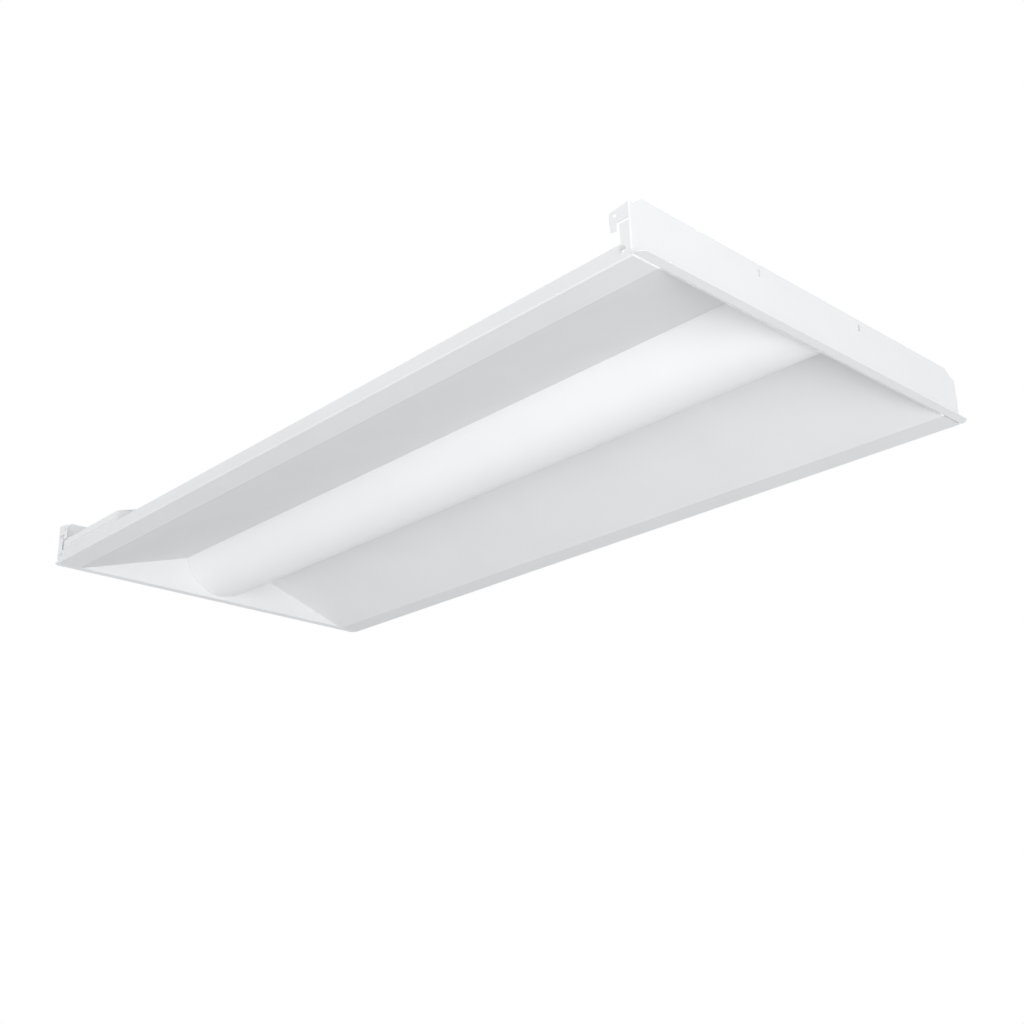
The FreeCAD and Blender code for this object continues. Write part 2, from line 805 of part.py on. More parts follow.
def make_lens_clips():
    """Spring clips under the rim of the tray that grip the upright edges of the lens."""
    leg_y = lens_half_width - lens_wall - slip_gap
    leg_bottom = tray_rim_z - clip_leg
    path = [
        (leg_y - clip_flange, tray_rim_z),
        (leg_y, tray_rim_z),
        (leg_y, leg_bottom),
        (leg_y - clip_lead_in, leg_bottom - clip_lead_in),
    ]
    outline = path + moved_right(path, clip_sheet)[::-1]
    clips = []
    for x in spaced(clip_count, tray_end_x - clip_inset):
        clip = prism("x", x - clip_length / 2, x + clip_length / 2, outline)
        clips += [clip, mirrored_y(clip)]
    return group(clips)


# ---- centre channel and wiring box ----

def channel_wall_place():
    return (channel_bush_x, sheet / 2 - channel_half, channel_bush_z)


def make_centre_channel():
    """Inverted channel whose feet lie on the reflectors and whose tabs pass the end plates."""
    inner_y = channel_half - sheet
    foot_y = channel_half + channel_foot * slope_cos
    lift = seat_gap / slope_cos
    right_half = [
        (foot_y, reflector_top_z(foot_y) + lift),
        (inner_y, reflector_top_z(inner_y) + lift),
        (inner_y, channel_top_z - sheet),
    ]
    left_half = [(-y, z) for y, z in right_half[::-1]]
    body = bent_sheet("x", -inside_end_x, inside_end_x, right_half + left_half)
    tabs = []
    for side in (-1, 1):
        for end in (-1, 1):
            tabs.append(block(end * (inside_end_x - sheet), end * (plate_outer_x + channel_tab_reach),
                              side * inner_y, side * channel_half,
                              plate_slot_z - channel_tab_height / 2, plate_slot_z + channel_tab_height / 2))
    return joined([body] + tabs).cut(hole(channel_wall_place(), ACROSS, bush_hole_radius))


def cover_surface_z(y):
    """Outer surface of the sloping cover at one place across."""
    return box_wall_top_z + (box_outer_y - abs(y)) * cover_slope


def cover_screw_seat():
    x = (box_end_x - plate_inner_x) / 2
    return (x, -cover_screw_y, cover_surface_z(cover_screw_y))


def cover_normal():
    return FreeCAD.Vector(0, -math.sin(math.radians(cover_angle)), cover_cos)


def box_flange_drop():
    """From the cover's outer surface down to the outer surface of the flange under it."""
    return (sheet + seat_gap) / cover_cos


def box_top_edge_y():
    return hinge_y + cover_hinge_gap


def make_box_top():
    """Fixed top plate of the wiring box, lapped over the channel."""
    return block(-inside_end_x, box_end_x, box_top_lap - channel_half, box_top_edge_y(),
                 box_top_z - sheet, box_top_z)


def make_box_wall():
    """Outer wall of the wiring box, with an inward flange that takes the cover's screw."""
    flange_run = box_flange * cover_cos
    path = [
        (-box_outer_y, sheet + seat_gap),
        (-box_outer_y, box_wall_top_z - box_flange_drop()),
        (flange_run - box_outer_y, cover_surface_z(box_outer_y - flange_run) - box_flange_drop()),
    ]
    wall = bent_sheet("x", -inside_end_x, box_end_x, path)
    return wall.cut(hole(cover_screw_seat(), cover_normal(), cover_screw_shank + cover_screw_slack))


def make_box_end():
    """End wall of the wiring box with a knock-out, shaped to the channel's foot."""
    drop = box_flange_drop()
    lift = seat_gap / slope_cos
    foot_y = channel_half + channel_foot * slope_cos + sheet
    wall_y = channel_half + seat_gap
    border_y = border_inner_y + sheet
    corner_run = inner_bend + sheet
    outline = [
        (-box_outer_y, sheet + seat_gap),
        (-border_y, sheet + seat_gap),
        (-foot_y, reflector_top_z(foot_y) + lift),
        (-foot_y, reflector_top_z(foot_y) + box_foot_step),
        (-wall_y, reflector_top_z(wall_y) + box_foot_step),
        (-wall_y, box_top_z - sheet),
        (box_top_edge_y(), box_top_z - sheet),
        (box_top_edge_y(), cover_top_z - drop),
        (hinge_y, cover_top_z - drop),
        (corner_run - box_outer_y, cover_surface_z(box_outer_y - corner_run) - drop),
        (-box_outer_y, box_wall_top_z - drop - corner_run),
    ]
    plate = prism("x", box_end_x - sheet, box_end_x, outline).cut(make_box_wall())
    return plate.cut(round_hole((box_end_x, -knockout_y, knockout_z), ALONG, knockout_radius))


def make_knockout_disc():
    """Round blank still in the knock-out of the box's end wall."""
    start = FreeCAD.Vector(box_end_x - sheet, -knockout_y, knockout_z)
    return Part.makeCylinder(knockout_radius - seat_gap, sheet, start, ALONG)


def make_access_cover():
    """Sloping cover of the wiring box, with hinge tabs under the top plate."""
    lip_y = -(box_outer_y + seat_gap + sheet)
    path = [
        (hinge_y + cover_tab_reach, cover_top_z),
        (hinge_y, cover_top_z),
        (lip_y, cover_surface_z(lip_y)),
        (lip_y, cover_surface_z(lip_y) - cover_lip),
    ]
    start_x = cover_edge_gap - plate_inner_x
    end_x = box_end_x + cover_overhang
    mirrored_path = [(-y, z) for y, z in path]
    shape = mirrored_y(bent_sheet("x", start_x, end_x, mirrored_path))
    waste_y = hinge_y - sheet
    tab_middles = (start_x + cover_tab_inset, end_x - cover_tab_inset)
    half_tab = cover_tab_width / 2
    spans = [
        (start_x - sheet, tab_middles[0] - half_tab),
        (tab_middles[0] + half_tab, tab_middles[1] - half_tab),
        (tab_middles[1] + half_tab, end_x + sheet),
    ]
    for left, right in spans:
        shape = shape.cut(block(left, right, waste_y, hinge_y + 2 * cover_tab_reach,
                                cover_top_z - 4 * sheet, cover_top_z + sheet))
    notch_x = arm_length + cover_notch_clearance - plate_outer_x
    notch = block(start_x - sheet, notch_x, 2 * lip_y, cover_notch_depth - box_outer_y, 0, cover_top_z)
    screw_hole = hole(cover_screw_seat(), cover_normal(), cover_screw_shank + shank_clearance)
    return shape.cut(notch).cut(screw_hole)


def make_access_cover_screw():
    return screw(cover_screw_seat(), cover_normal(), cover_screw_length,
                 shank_radius=cover_screw_shank)


# ---- driver and wiring ----

def wall_s(n, y):
    """How far up the slope an upright plane at one place across lies, at height n."""
    return (border_inner_y - y + n * slope_sin) / slope_cos


def make_driver_bracket():
    """Bracket with a foot on the reflector and a flange against the channel."""
    flange_y = channel_half + seat_gap + sheet
    flange_top_n = bracket_top_n + bracket_flange * slope_cos
    foot_end_s = bracket_foot_s + bracket_foot
    path = [
        (bracket_foot_s, seat_gap + sheet),
        (foot_end_s, seat_gap + sheet),
        (foot_end_s, bracket_top_n),
        (wall_s(bracket_top_n, flange_y), bracket_top_n),
        (wall_s(flange_top_n, flange_y), flange_top_n),
    ]
    shape = bent_sheet("x", bracket_start_x, bracket_end_x, path)
    for x in driver_screw_xs():
        seat = (x, driver_s + driver_width / 2, bracket_top_n)
        shape = shape.cut(hole(seat, UP, screw_radius + shank_clearance))
    shape = shape.cut(hole(earth_screw_seat(), UP, screw_radius + shank_clearance))
    return on_front_reflector(shape)


def earth_screw_seat():
    return (bracket_end_x - earth_screw_end_margin, block_s + block_width / 2, bracket_top_n)


def driver_screw_xs():
    half_ear = driver_ear / 2
    return (driver_start_x - half_ear, driver_start_x + driver_length + half_ear)


def make_driver_case():
    """Metal driver case with a fixing ear at each end."""
    case = block(driver_start_x, driver_start_x + driver_length,
                 driver_s, driver_s + driver_width, bracket_top_n, bracket_top_n + driver_height)
    top_n = bracket_top_n + driver_height
    long_top = [edge for edge in case.Edges
                if edge.BoundBox.XLength > driver_length / 2 and abs(edge.BoundBox.ZMin - top_n) < 0.01]
    case = case.makeFillet(driver_corner, long_top)
    middle_s = driver_s + driver_width / 2
    ears = block(driver_start_x - driver_ear, driver_start_x + driver_length + driver_ear,
                 middle_s - driver_ear_width / 2, middle_s + driver_ear_width / 2,
                 bracket_top_n, bracket_top_n + driver_ear_sheet)
    shape = joined([case, ears])
    for x in driver_screw_xs():
        shape = shape.cut(hole((x, middle_s, bracket_top_n), UP, screw_radius + shank_clearance))
    return on_front_reflector(shape)


def make_driver_terminals():
    """Push-in terminal blocks on the two ends of the driver."""
    middle_s = driver_s + driver_width / 2
    bottom = bracket_top_n + terminal_lift
    pieces = []
    ends = [(driver_start_x - terminal_length, -1), (driver_start_x + driver_length, 1)]
    for start_x, end in ends:
        body = block(start_x, start_x + terminal_length, middle_s - terminal_width / 2,
                     middle_s + terminal_width / 2, bottom, bottom + terminal_height)
        mouth_x = start_x if end < 0 else start_x + terminal_length / 2
        for i in range(terminal_slots):
            slot_s = middle_s + (i - (terminal_slots - 1) / 2) * terminal_width / terminal_slots
            start = (mouth_x, slot_s, bottom + terminal_height / 2)
            body = body.cut(rod(terminal_slot_radius, start, ALONG, terminal_length / 2))
        pieces.append(on_front_reflector(body))
    return group(pieces)


def make_driver_screws():
    seat_n = bracket_top_n + driver_ear_sheet
    seat_s = driver_s + driver_width / 2
    length = driver_ear_sheet + 3 * sheet
    return group([
        on_front_reflector(screw((x, seat_s, seat_n), UP, length)) for x in driver_screw_xs()
    ])


def block_start_x():
    return bracket_start_x + block_end_margin


def pole_x(i):
    return block_start_x() + (i + 0.5) * block_length / block_poles


def make_terminal_block():
    """Supply terminal block, with a screw well and two wire mouths for each pole."""
    top_n = bracket_top_n + block_height
    shape = block(block_start_x(), block_start_x() + block_length,
                  block_s, block_s + block_width, bracket_top_n, top_n)
    middle_s = block_s + block_width / 2
    mouth_n = bracket_top_n + block_height / 3
    for i in range(block_poles):
        well_bottom = (pole_x(i), middle_s, top_n - block_well_depth)
        near_mouth = (pole_x(i), block_s, mouth_n)
        far_mouth = (pole_x(i), block_s + block_width - block_mouth_depth, mouth_n)
        shape = shape.cut(rod(block_well_radius, well_bottom, UP, block_well_depth))
        shape = shape.cut(rod(terminal_slot_radius, near_mouth, ACROSS, block_mouth_depth))
        shape = shape.cut(rod(terminal_slot_radius, far_mouth, ACROSS, block_mouth_depth))
    return on_front_reflector(shape)


def make_earth_screw():
    return on_front_reflector(screw(earth_screw_seat(), UP, 4 * sheet))


def bush(axis_direction, centre):
    """Plastic bush snapped into a hole in sheet, with a collar on each side."""
    total = sheet + 2 * bush_collar_height
    start = FreeCAD.Vector(*centre) - axis_direction * (total / 2)
    parts = [rod(bush_hole_radius - seat_gap, start, axis_direction, total)]
    for shift in (0, sheet + bush_collar_height):
        place = start + axis_direction * shift
        parts.append(rod(bush_hole_radius + bush_collar, place, axis_direction, bush_collar_height))
    bore_start = start - axis_direction * total
    return joined(parts).cut(rod(bush_hole_radius - bush_wall, bore_start, axis_direction, 3 * total))


def make_lead_bushes():
    tray_place = (tray_bush_x, 0, tray_floor_z + sheet / 2)
    return group([bush(ACROSS, channel_wall_place()), bush(UP, tray_place)])


def tube(points, radius, bend_radius):
    """Lead along straight runs joined by tangent arcs."""
    edges = []
    start = points[0]
    for i in range(1, len(points) - 1):
        before = (points[i] - points[i - 1]).normalize()
        after = (points[i + 1] - points[i]).normalize()
        half_turn = before.getAngle(after) / 2
        shortest = min((points[i] - points[i - 1]).Length, (points[i + 1] - points[i]).Length)
        corner_radius = min(bend_radius, 0.45 * shortest / math.tan(half_turn))
        reach = corner_radius * math.tan(half_turn)
        toward = (after - before).normalize()
        enter = points[i] - before * reach
        leave = points[i] + after * reach
        middle = points[i] + toward * (corner_radius / math.cos(half_turn) - corner_radius)
        edges.append(Part.LineSegment(start, enter).toShape())
        edges.append(Part.Arc(enter, middle, leave).toShape())
        start = leave
    edges.append(Part.LineSegment(start, points[-1]).toShape())
    first_direction = (points[1] - points[0]).normalize()
    profile = ring(radius, points[0], first_direction, lead_sides)
    return Part.Wire(edges).makePipeShell([profile], True, False)


def make_output_leads():
    """Two leads from the driver, through both bushes, to the first board connector."""
    driver_end_x = driver_start_x + driver_length + terminal_length / 2
    middle_s = driver_s + driver_width / 2
    mouth_n = bracket_top_n + terminal_lift + terminal_height / 2
    rim_z = tray_rim_z + sheet + 2 * lead_radius
    over_tray_z = tray_floor_z + sheet + 2 * lead_radius
    over_bush_z = tray_floor_z + sheet + bush_collar_height + 3 * lead_radius
    wall_y = -channel_half
    connector_x, connector_y = connector_places()[0]
    exit_x = connector_x + connector_length / 2
    leads = []
    for side in (-1, 1):
        shift = side * lead_spacing / 2
        start_s = middle_s + side * terminal_width / terminal_slots
        points = [
            slope_point(driver_end_x, start_s, mouth_n),
            slope_point(driver_end_x + lead_stub, start_s, mouth_n),
            FreeCAD.Vector(channel_bush_x - shift / 2, wall_y - bush_turn, channel_bush_z),
            FreeCAD.Vector(channel_bush_x - shift, wall_y - bush_stub, channel_bush_z),
            FreeCAD.Vector(channel_bush_x - shift, wall_y + bush_stub, channel_bush_z),
            FreeCAD.Vector(channel_bush_x - shift, wall_y + rim_start, rim_z),
            FreeCAD.Vector(channel_bush_x - shift - rim_drift, wall_y + rim_end, rim_z),
            FreeCAD.Vector(channel_bush_x - floor_drift, wall_y + floor_start + 2 * shift, over_tray_z),
            FreeCAD.Vector(tray_bush_x + shift, 0, over_bush_z),
            FreeCAD.Vector(tray_bush_x + shift, 0, connector_z()),
            FreeCAD.Vector(exit_x + lead_stub, connector_y + shift, connector_z()),
            FreeCAD.Vector(exit_x - lead_entry, connector_y + shift, connector_z()),
        ]
        leads.append(tube(points, lead_radius, lead_bend))
    return group(leads)


def make_row_jumpers():
    """Two straight leads that join the connectors of the two rows."""
    (x, front_y), (_, back_y) = connector_places()
    start_y = front_y + connector_width / 2 - lead_entry
    length = back_y - connector_width / 2 + lead_entry - start_y
    return group([
        rod(lead_radius, (x - jumper_shift + shift, start_y, connector_z()), ACROSS, length, lead_sides)
        for shift in (-lead_spacing / 2, lead_spacing / 2)
    ])


def make_input_leads():
    """Leads from the terminal block to the supply end of the driver."""
    middle_s = driver_s + driver_width / 2
    mouth_n = bracket_top_n + terminal_lift + terminal_height / 2
    pole_n = bracket_top_n + block_height / 3
    end_x = driver_start_x - terminal_length / 2
    leads = []
    for i in range(terminal_slots - 1):
        slot_s = middle_s + (1 - i) * terminal_width / terminal_slots
        run_s = driver_s + driver_width + supply_run_gap + i * lead_spacing
        turn_x = end_x - supply_turn - i * lead_spacing / 2
        points = [
            slope_point(end_x, slot_s, mouth_n),
            slope_point(turn_x, slot_s, mouth_n),
            slope_point(turn_x, run_s, mouth_n),
            slope_point(pole_x(i), run_s, mouth_n),
            slope_point(pole_x(i), block_s - block_stub, pole_n),
            slope_point(pole_x(i), block_s + block_stub, pole_n),
        ]
        leads.append(tube(points, lead_radius, tight_lead_bend))
    return group(leads)


# ---- outer fasteners ----

def make_end_rivets():
    """Rivets through the end plates into the tabs of the side reflectors."""
    grip = 2 * sheet + seat_gap
    rivets = []
    for side in (-1, 1):
        seat = (plate_outer_x, side * end_tab_y, bracket_rivet_z())
        right = rivet(seat, ALONG, grip)
        rivets += [right, mirrored_x(right)]
    return group(rivets)


def make_bracket_screws():
    """Screws that hold each hook bracket against the side lip."""
    seat = (plate_outer_x - bracket_screw_inset, bracket_outer_y, bracket_screw_z)
    length = 3 * sheet + seat_gap
    first = screw(seat, ACROSS, length, low_head_height)
    front = mirrored_y(first)
    return group([first, front, mirrored_x(first), mirrored_x(front)])


def make_parts():
    back_reflector = make_side_reflector()
    right_end_reflector = make_end_reflector()
    end_plate, end_flange, end_hooks = split_end_pressing()
    parts = {
        "side_reflector_back": back_reflector,
        "side_reflector_front": mirrored_y(back_reflector),
        "end_plate_right": end_plate,
        "end_plate_left": mirrored_x(end_plate).cut(make_supply_hole()),
        "end_flange_right": end_flange,
        "end_flange_left": mirrored_x(end_flange),
        "hook_brackets": group(end_hooks.Solids + mirrored_x(end_hooks).Solids),
        "end_reflector_right": right_end_reflector,
        "end_reflector_left": mirrored_x(right_end_reflector),
        "centre_channel": make_centre_channel(),
        "led_tray": make_led_tray(),
        "led_chips": make_chips(),
        "board_connectors": make_board_connectors(),
        "board_screws": make_board_screws(),
        "tray_rivets": make_tray_rivets(),
        "lens": make_lens(),
        "lens_clips": make_lens_clips(),
        "wiring_box": make_box_top(),
        "wiring_box_wall": make_box_wall(),
        "wiring_box_end": make_box_end(),
        "knockout_disc": make_knockout_disc(),
        "access_cover": make_access_cover(),
        "access_cover_screw": make_access_cover_screw(),
        "driver_bracket": make_driver_bracket(),
        "driver_case": make_driver_case(),
        "driver_terminals": make_driver_terminals(),
        "driver_screws": make_driver_screws(),
        "terminal_block": make_terminal_block(),
        "earth_screw": make_earth_screw(),
        "lead_bushes": make_lead_bushes(),
        "output_leads": make_output_leads(),
        "row_jumpers": make_row_jumpers(),
        "input_leads": make_input_leads(),
        "end_rivets": make_end_rivets(),
        "bracket_screws": make_bracket_screws(),
    }
    for name, middle_x, row_y in board_rows():
        parts[name] = make_board(middle_x, row_y)
    return parts


os.makedirs("parts", exist_ok=True)
for name, shape in make_parts().items():
    shape.exportStep("parts/" + name + ".step")
    state = "valid" if shape.isValid() else "INVALID"
    print(name, len(shape.Solids), "solids", round(shape.Volume), "mm3", state)
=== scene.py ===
"""The looks of a recessed troffer light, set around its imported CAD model, in metres."""

import math

import bpy
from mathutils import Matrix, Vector


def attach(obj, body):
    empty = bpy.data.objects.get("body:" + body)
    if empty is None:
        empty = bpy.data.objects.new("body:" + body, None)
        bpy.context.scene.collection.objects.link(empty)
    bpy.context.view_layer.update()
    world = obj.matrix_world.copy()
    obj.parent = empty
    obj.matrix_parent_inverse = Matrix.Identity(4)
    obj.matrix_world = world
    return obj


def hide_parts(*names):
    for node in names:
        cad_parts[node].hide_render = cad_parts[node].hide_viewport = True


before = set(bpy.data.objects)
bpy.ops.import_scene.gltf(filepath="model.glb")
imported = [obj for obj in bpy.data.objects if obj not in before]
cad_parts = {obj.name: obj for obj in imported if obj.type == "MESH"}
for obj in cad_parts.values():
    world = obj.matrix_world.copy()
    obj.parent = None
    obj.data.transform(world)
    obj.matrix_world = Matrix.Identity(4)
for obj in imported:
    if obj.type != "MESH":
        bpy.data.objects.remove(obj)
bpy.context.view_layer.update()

ALONG = Vector((1.0, 0.0, 0.0))
ACROSS = Vector((0.0, 1.0, 0.0))
DOWN = Vector((0.0, 0.0, -1.0))
WHITE = (1.0, 1.0, 1.0, 1.0)

# The camera, with its lens and sensor in millimetres.
CAMERA_PLACE = (1.3249, -1.1991, -0.7026)
CAMERA_YAW = math.radians(139.82)
CAMERA_PITCH = math.radians(20.97)
CAMERA_LENS = 48.3
CAMERA_SENSOR = 36.0
CAMERA_SHIFT = (0.1018, 0.0027)
CAMERA_NEAREST = 0.01
CAMERA_FARTHEST = 100.0

# The lamps, the even light around them and the floor.
LAMP_SIZE = 2.0
AMBIENT_COLOUR = (0.985, 0.992, 1.0, 1.0)
AMBIENT_STRENGTH = 0.52
FLOOR_DEPTH = 2.7
FLOOR_HALF = 12.0
FLOOR_FADE_START = 1.6
FLOOR_FADE_END = 5.0
FLOOR_DARK = (0.845, 0.845, 0.845)
FLOOR_LIGHT = (0.86, 0.86, 0.86)
FLOOR_ROUGHNESS = 0.8

# A noise texture lies mostly between these two values.
NOISE_LOW = 0.3
NOISE_HIGH = 0.7

# The window of phosphor in a light chip and the width of its soft edge, and the decimals to which
# the chips' places are read.
WINDOW_RADIUS = 0.00108
WINDOW_EDGE = 0.00006
CHIP_DECIMALS = 5

# The slopes that screws stand on.
REFLECTOR_RISE = 0.0562
REFLECTOR_RUN = 0.1881
REFLECTOR_ANGLE = math.atan(REFLECTOR_RISE / REFLECTOR_RUN)
COVER_ANGLE = math.radians(17.0)

# A node of small pieces is measured piece by piece: points within PIECE_REACH are of one piece,
# the rim of a head starts at RIM_SHARE of its radius, and the tail is the last TAIL_LENGTH of a shank.
PIECE_REACH = 0.015
RIM_SHARE = 0.95
TAIL_LENGTH = 0.0001

# A worked head, with radii as shares of the head's radius and depths as shares of its height.
HEAD_RINGS = 14
HEAD_STEPS = 48
HEAD_LEAST = 0.05
DOME_START = 0.5
DOME_FALL = 0.45
RECESS_ARM = 0.13
RECESS_REACH = 0.62
RECESS_DEPTH = 0.6
DIMPLE_RADIUS = 0.34
DIMPLE_DEPTH = 0.45

# The leads are welded into closed tubes and rounded.
WELD_REACH = 0.00001
LEAD_ROUNDINGS = 2


def scaled(colour, factor):
    """The colour, made lighter or darker."""
    return tuple(min(1.0, part * factor) for part in colour)


def clusters(node_name):
    """The points of a node of small pieces, grouped piece by piece."""
    groups = []
    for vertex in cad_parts[node_name].data.vertices:
        point = vertex.co.copy()
        for group in groups:
            if (group[0] - point).length < PIECE_REACH:
                group.append(point)
                break
        else:
            groups.append([point])
    return groups


def middle(points, axis):
    """Halfway between the two ends of the points along an axis."""
    values = [point.dot(axis) for point in points]
    return (min(values) + max(values)) / 2


def chip_grid():
    """How far the first chips stand from the middle, the chips' pitch, and how far out their rows are."""
    chips = clusters("led_chips")
    first, second = sorted({round(abs(middle(chip, ALONG)), CHIP_DECIMALS) for chip in chips})[:2]
    row = round(abs(middle(chips[0], ACROSS)), CHIP_DECIMALS)
    return first, second - first, row


class NodeTree:
    """The nodes of a material or of the world, and the steps that they are built from."""

    def __init__(self, tree):
        self.nodes = tree.nodes
        self.links = tree.links

    def add(self, kind):
        """A new node of that kind."""
        return self.nodes.new("ShaderNode" + kind)

    def feed(self, node, inputs):
        """Fills a node's inputs with values or with other nodes' outputs, and gives its own outputs."""
        for name, value in inputs.items():
            if isinstance(value, bpy.types.NodeSocket):
                self.links.new(value, node.inputs[name])
            else:
                node.inputs[name].default_value = value
        return node.outputs

    def arithmetic(self, operation, *values):
        """One step of arithmetic."""
        node = self.add("Math")
        node.operation = operation
        return self.feed(node, dict(enumerate(values)))["Value"]

    def seen_ray(self):
        """1 for a ray from the eye, a reflection or clear plastic, and 0 for light on a matt surface."""
        path = self.add("LightPath").outputs
        either = self.arithmetic("MAXIMUM", path["Is Camera Ray"], path["Is Glossy Ray"])
        return self.arithmetic("MAXIMUM", either, path["Is Transmission Ray"])

    def show(self, output_name, share, plain, white):
        """Sends two shaders to the output: plain where the share is 0, and white where it is 1."""
        mixed = self.feed(self.add("MixShader"), {"Fac": share, 1: plain, 2: white})["Shader"]
        self.feed(self.nodes[output_name], {"Surface": mixed})


class Finish(NodeTree):
    """A material with one main shader. Its textures lie in the light's own metres."""

    def __init__(self, name):
        self.material = bpy.data.materials.new(name)
        self.material.use_nodes = True
        super().__init__(self.material.node_tree)
        self.place = self.add("TexCoord").outputs["Object"]

    def surface(self, inputs):
        """Fills inputs of the main shader, and gives its outputs."""
        return self.feed(self.nodes["Principled BSDF"], inputs)

    def noise(self, scale, detail, harshness=0.5):
        """A noise texture, with harshness as the strength of its finer layers."""
        inputs = {"Vector": self.place, "Scale": scale, "Detail": detail, "Roughness": harshness}
        return self.feed(self.add("TexNoise"), inputs)["Fac"]

    def spread(self, value, low, high):
        """A noise value, mapped to low and high."""
        ends = {"From Min": NOISE_LOW, "From Max": NOISE_HIGH, "To Min": low, "To Max": high}
        return self.feed(self.add("MapRange"), {"Value": value, **ends})["Result"]

    def ramp(self, value, start, end):
        """A smooth way from 0, where the value is start, to 1, where it is end."""
        node = self.add("MapRange")
        node.interpolation_type = "SMOOTHSTEP"
        return self.feed(node, {"Value": value, "From Min": start, "From Max": end})["Result"]

    def shade(self, share, dark, light):
        """A colour between dark and light."""
        node = self.add("Mix")
        node.data_type = "RGBA"
        return self.feed(node, {"Factor": share, "A": (*dark, 1.0), "B": (*light, 1.0)})["Result"]

    def flat_place(self):
        """How far along and how far across the light a point lies."""
        parts = self.feed(self.add("SeparateXYZ"), {"Vector": self.place})
        return parts["X"], parts["Y"]

    def flat_distance(self, x, y):
        """The length of the flat step x, y."""
        flat = self.feed(self.add("CombineXYZ"), {"X": x, "Y": y})["Vector"]
        node = self.add("VectorMath")
        node.operation = "LENGTH"
        return self.feed(node, {0: flat})["Value"]

    def clouds(self, dark, light, scale, detail):
        """A colour that shifts between dark and light in soft clouds."""
        cloud = self.spread(self.noise(scale, detail), 0.0, 1.0)
        self.surface({"Base Color": self.shade(cloud, dark, light)})

    def skin(self, scale, detail, roughness, strength, depth, harshness=0.5):
        """A fine grain, with its lowest and highest roughness, and the strength and depth of its bumps."""
        grain = self.noise(scale, detail, harshness)
        bumps = self.feed(self.add("Bump"), {"Height": grain, "Strength": strength, "Distance": depth})
        self.surface({"Roughness": self.spread(grain, *roughness), "Normal": bumps["Normal"]})


def painted(name, colour, roughness, grain=1500.0, depth=0.00006):
    """Powder coat: fine orange peel, and cloudy shifts of tone."""
    finish = Finish(name)
    finish.clouds(scaled(colour, 0.985), scaled(colour, 1.012), scale=9.0, detail=4.0)
    ends = (roughness - 0.05, roughness + 0.05)
    finish.skin(scale=grain, detail=2.0, roughness=ends, strength=0.35, depth=depth)
    finish.surface({"Specular IOR Level": 0.4})
    return finish.material


def opal(name, colour):
    """Satin opal plastic, milky a little way in."""
    finish = Finish(name)
    finish.clouds(scaled(colour, 0.992), scaled(colour, 1.006), scale=5.0, detail=2.0)
    finish.skin(scale=2600.0, detail=2.0, roughness=(0.36, 0.44), strength=0.2, depth=0.00003)
    finish.surface({"Subsurface Weight": 0.2, "Subsurface Radius": (0.004, 0.004, 0.004)})
    finish.surface({"Subsurface Scale": 1.0, "IOR": 1.49})
    return finish.material


def metal(name, colour, roughness):
    """Bare or plated steel, with a fine even grain and clouds of tone."""
    finish = Finish(name)
    finish.clouds(scaled(colour, 0.85), scaled(colour, 1.06), scale=160.0, detail=4.0)
    ends = (roughness - 0.08, roughness + 0.1)
    finish.skin(scale=900.0, detail=4.0, roughness=ends, strength=0.25, depth=0.00003, harshness=0.6)
    finish.surface({"Metallic": 1.0})
    return finish.material


def plastic(name, colour, roughness):
    """Moulded plastic, with a fine spark-eroded skin."""
    finish = Finish(name)
    finish.clouds(scaled(colour, 0.95), scaled(colour, 1.03), scale=120.0, detail=2.0)
    ends = (roughness - 0.05, roughness + 0.06)
    finish.skin(scale=3200.0, detail=2.0, roughness=ends, strength=0.3, depth=0.00004)
    return finish.material


def chip_package(name, package, phosphor):
    """Light-chip packages, each with a round window of phosphor in its middle."""
    finish = Finish(name)
    first, pitch, row = chip_grid()
    along, across = [finish.arithmetic("ABSOLUTE", part) for part in finish.flat_place()]
    past_chip = finish.arithmetic("PINGPONG", finish.arithmetic("SUBTRACT", along, first), pitch / 2)
    off_row = finish.arithmetic("SUBTRACT", across, row)
    off_middle = finish.flat_distance(past_chip, off_row)
    window = finish.ramp(off_middle, WINDOW_RADIUS + WINDOW_EDGE, WINDOW_RADIUS - WINDOW_EDGE)
    finish.surface({"Base Color": finish.shade(window, package, phosphor), "Roughness": 0.35})
    return finish.material


FINISHES = {
    "white_paint": painted("white_powder_coat", (0.83, 0.84, 0.85), 0.42),
    "reflector_paint": painted("matt_reflector_coat", (0.80, 0.81, 0.82), 0.55, 1900.0),
    "board_mask": plastic("white_solder_mask", (0.84, 0.86, 0.84), 0.38),
    "chip_phosphor": chip_package("chip_package", (0.82, 0.82, 0.79), (0.88, 0.66, 0.16)),
    "white_plastic": plastic("white_moulding", (0.80, 0.80, 0.77), 0.4),
    "zinc_steel": metal("bright_zinc", (0.68, 0.69, 0.69), 0.32),
    "opal_lens": opal("opal_diffuser", (0.93, 0.935, 0.94)),
    "spring_steel": metal("rolled_spring_steel", (0.42, 0.43, 0.45), 0.3),
    "galvanised_steel": metal("galvanised_sheet", (0.60, 0.62, 0.63), 0.42),
    "driver_metal": painted("driver_case_coat", (0.76, 0.76, 0.75), 0.38),
    "earth_green": painted("green_screw_coat", (0.06, 0.33, 0.11), 0.3, 3000.0, 0.00002),
    "black_plastic": plastic("black_moulding", (0.022, 0.022, 0.025), 0.45),
    "lead_insulation": plastic("lead_sheath", (0.05, 0.05, 0.055), 0.5),
    "white_rivets": painted("painted_rivets", (0.81, 0.82, 0.83), 0.4, 2500.0),
}


def finish_nodes():
    """Each CAD node gets the finish of its slot."""
    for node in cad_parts.values():
        for slot in node.material_slots:
            slot.material = FINISHES[slot.material.name]


def scene_object(name, data):
    """A new object in the scene."""
    thing = bpy.data.objects.new(name, data)
    bpy.context.scene.collection.objects.link(thing)
    return thing


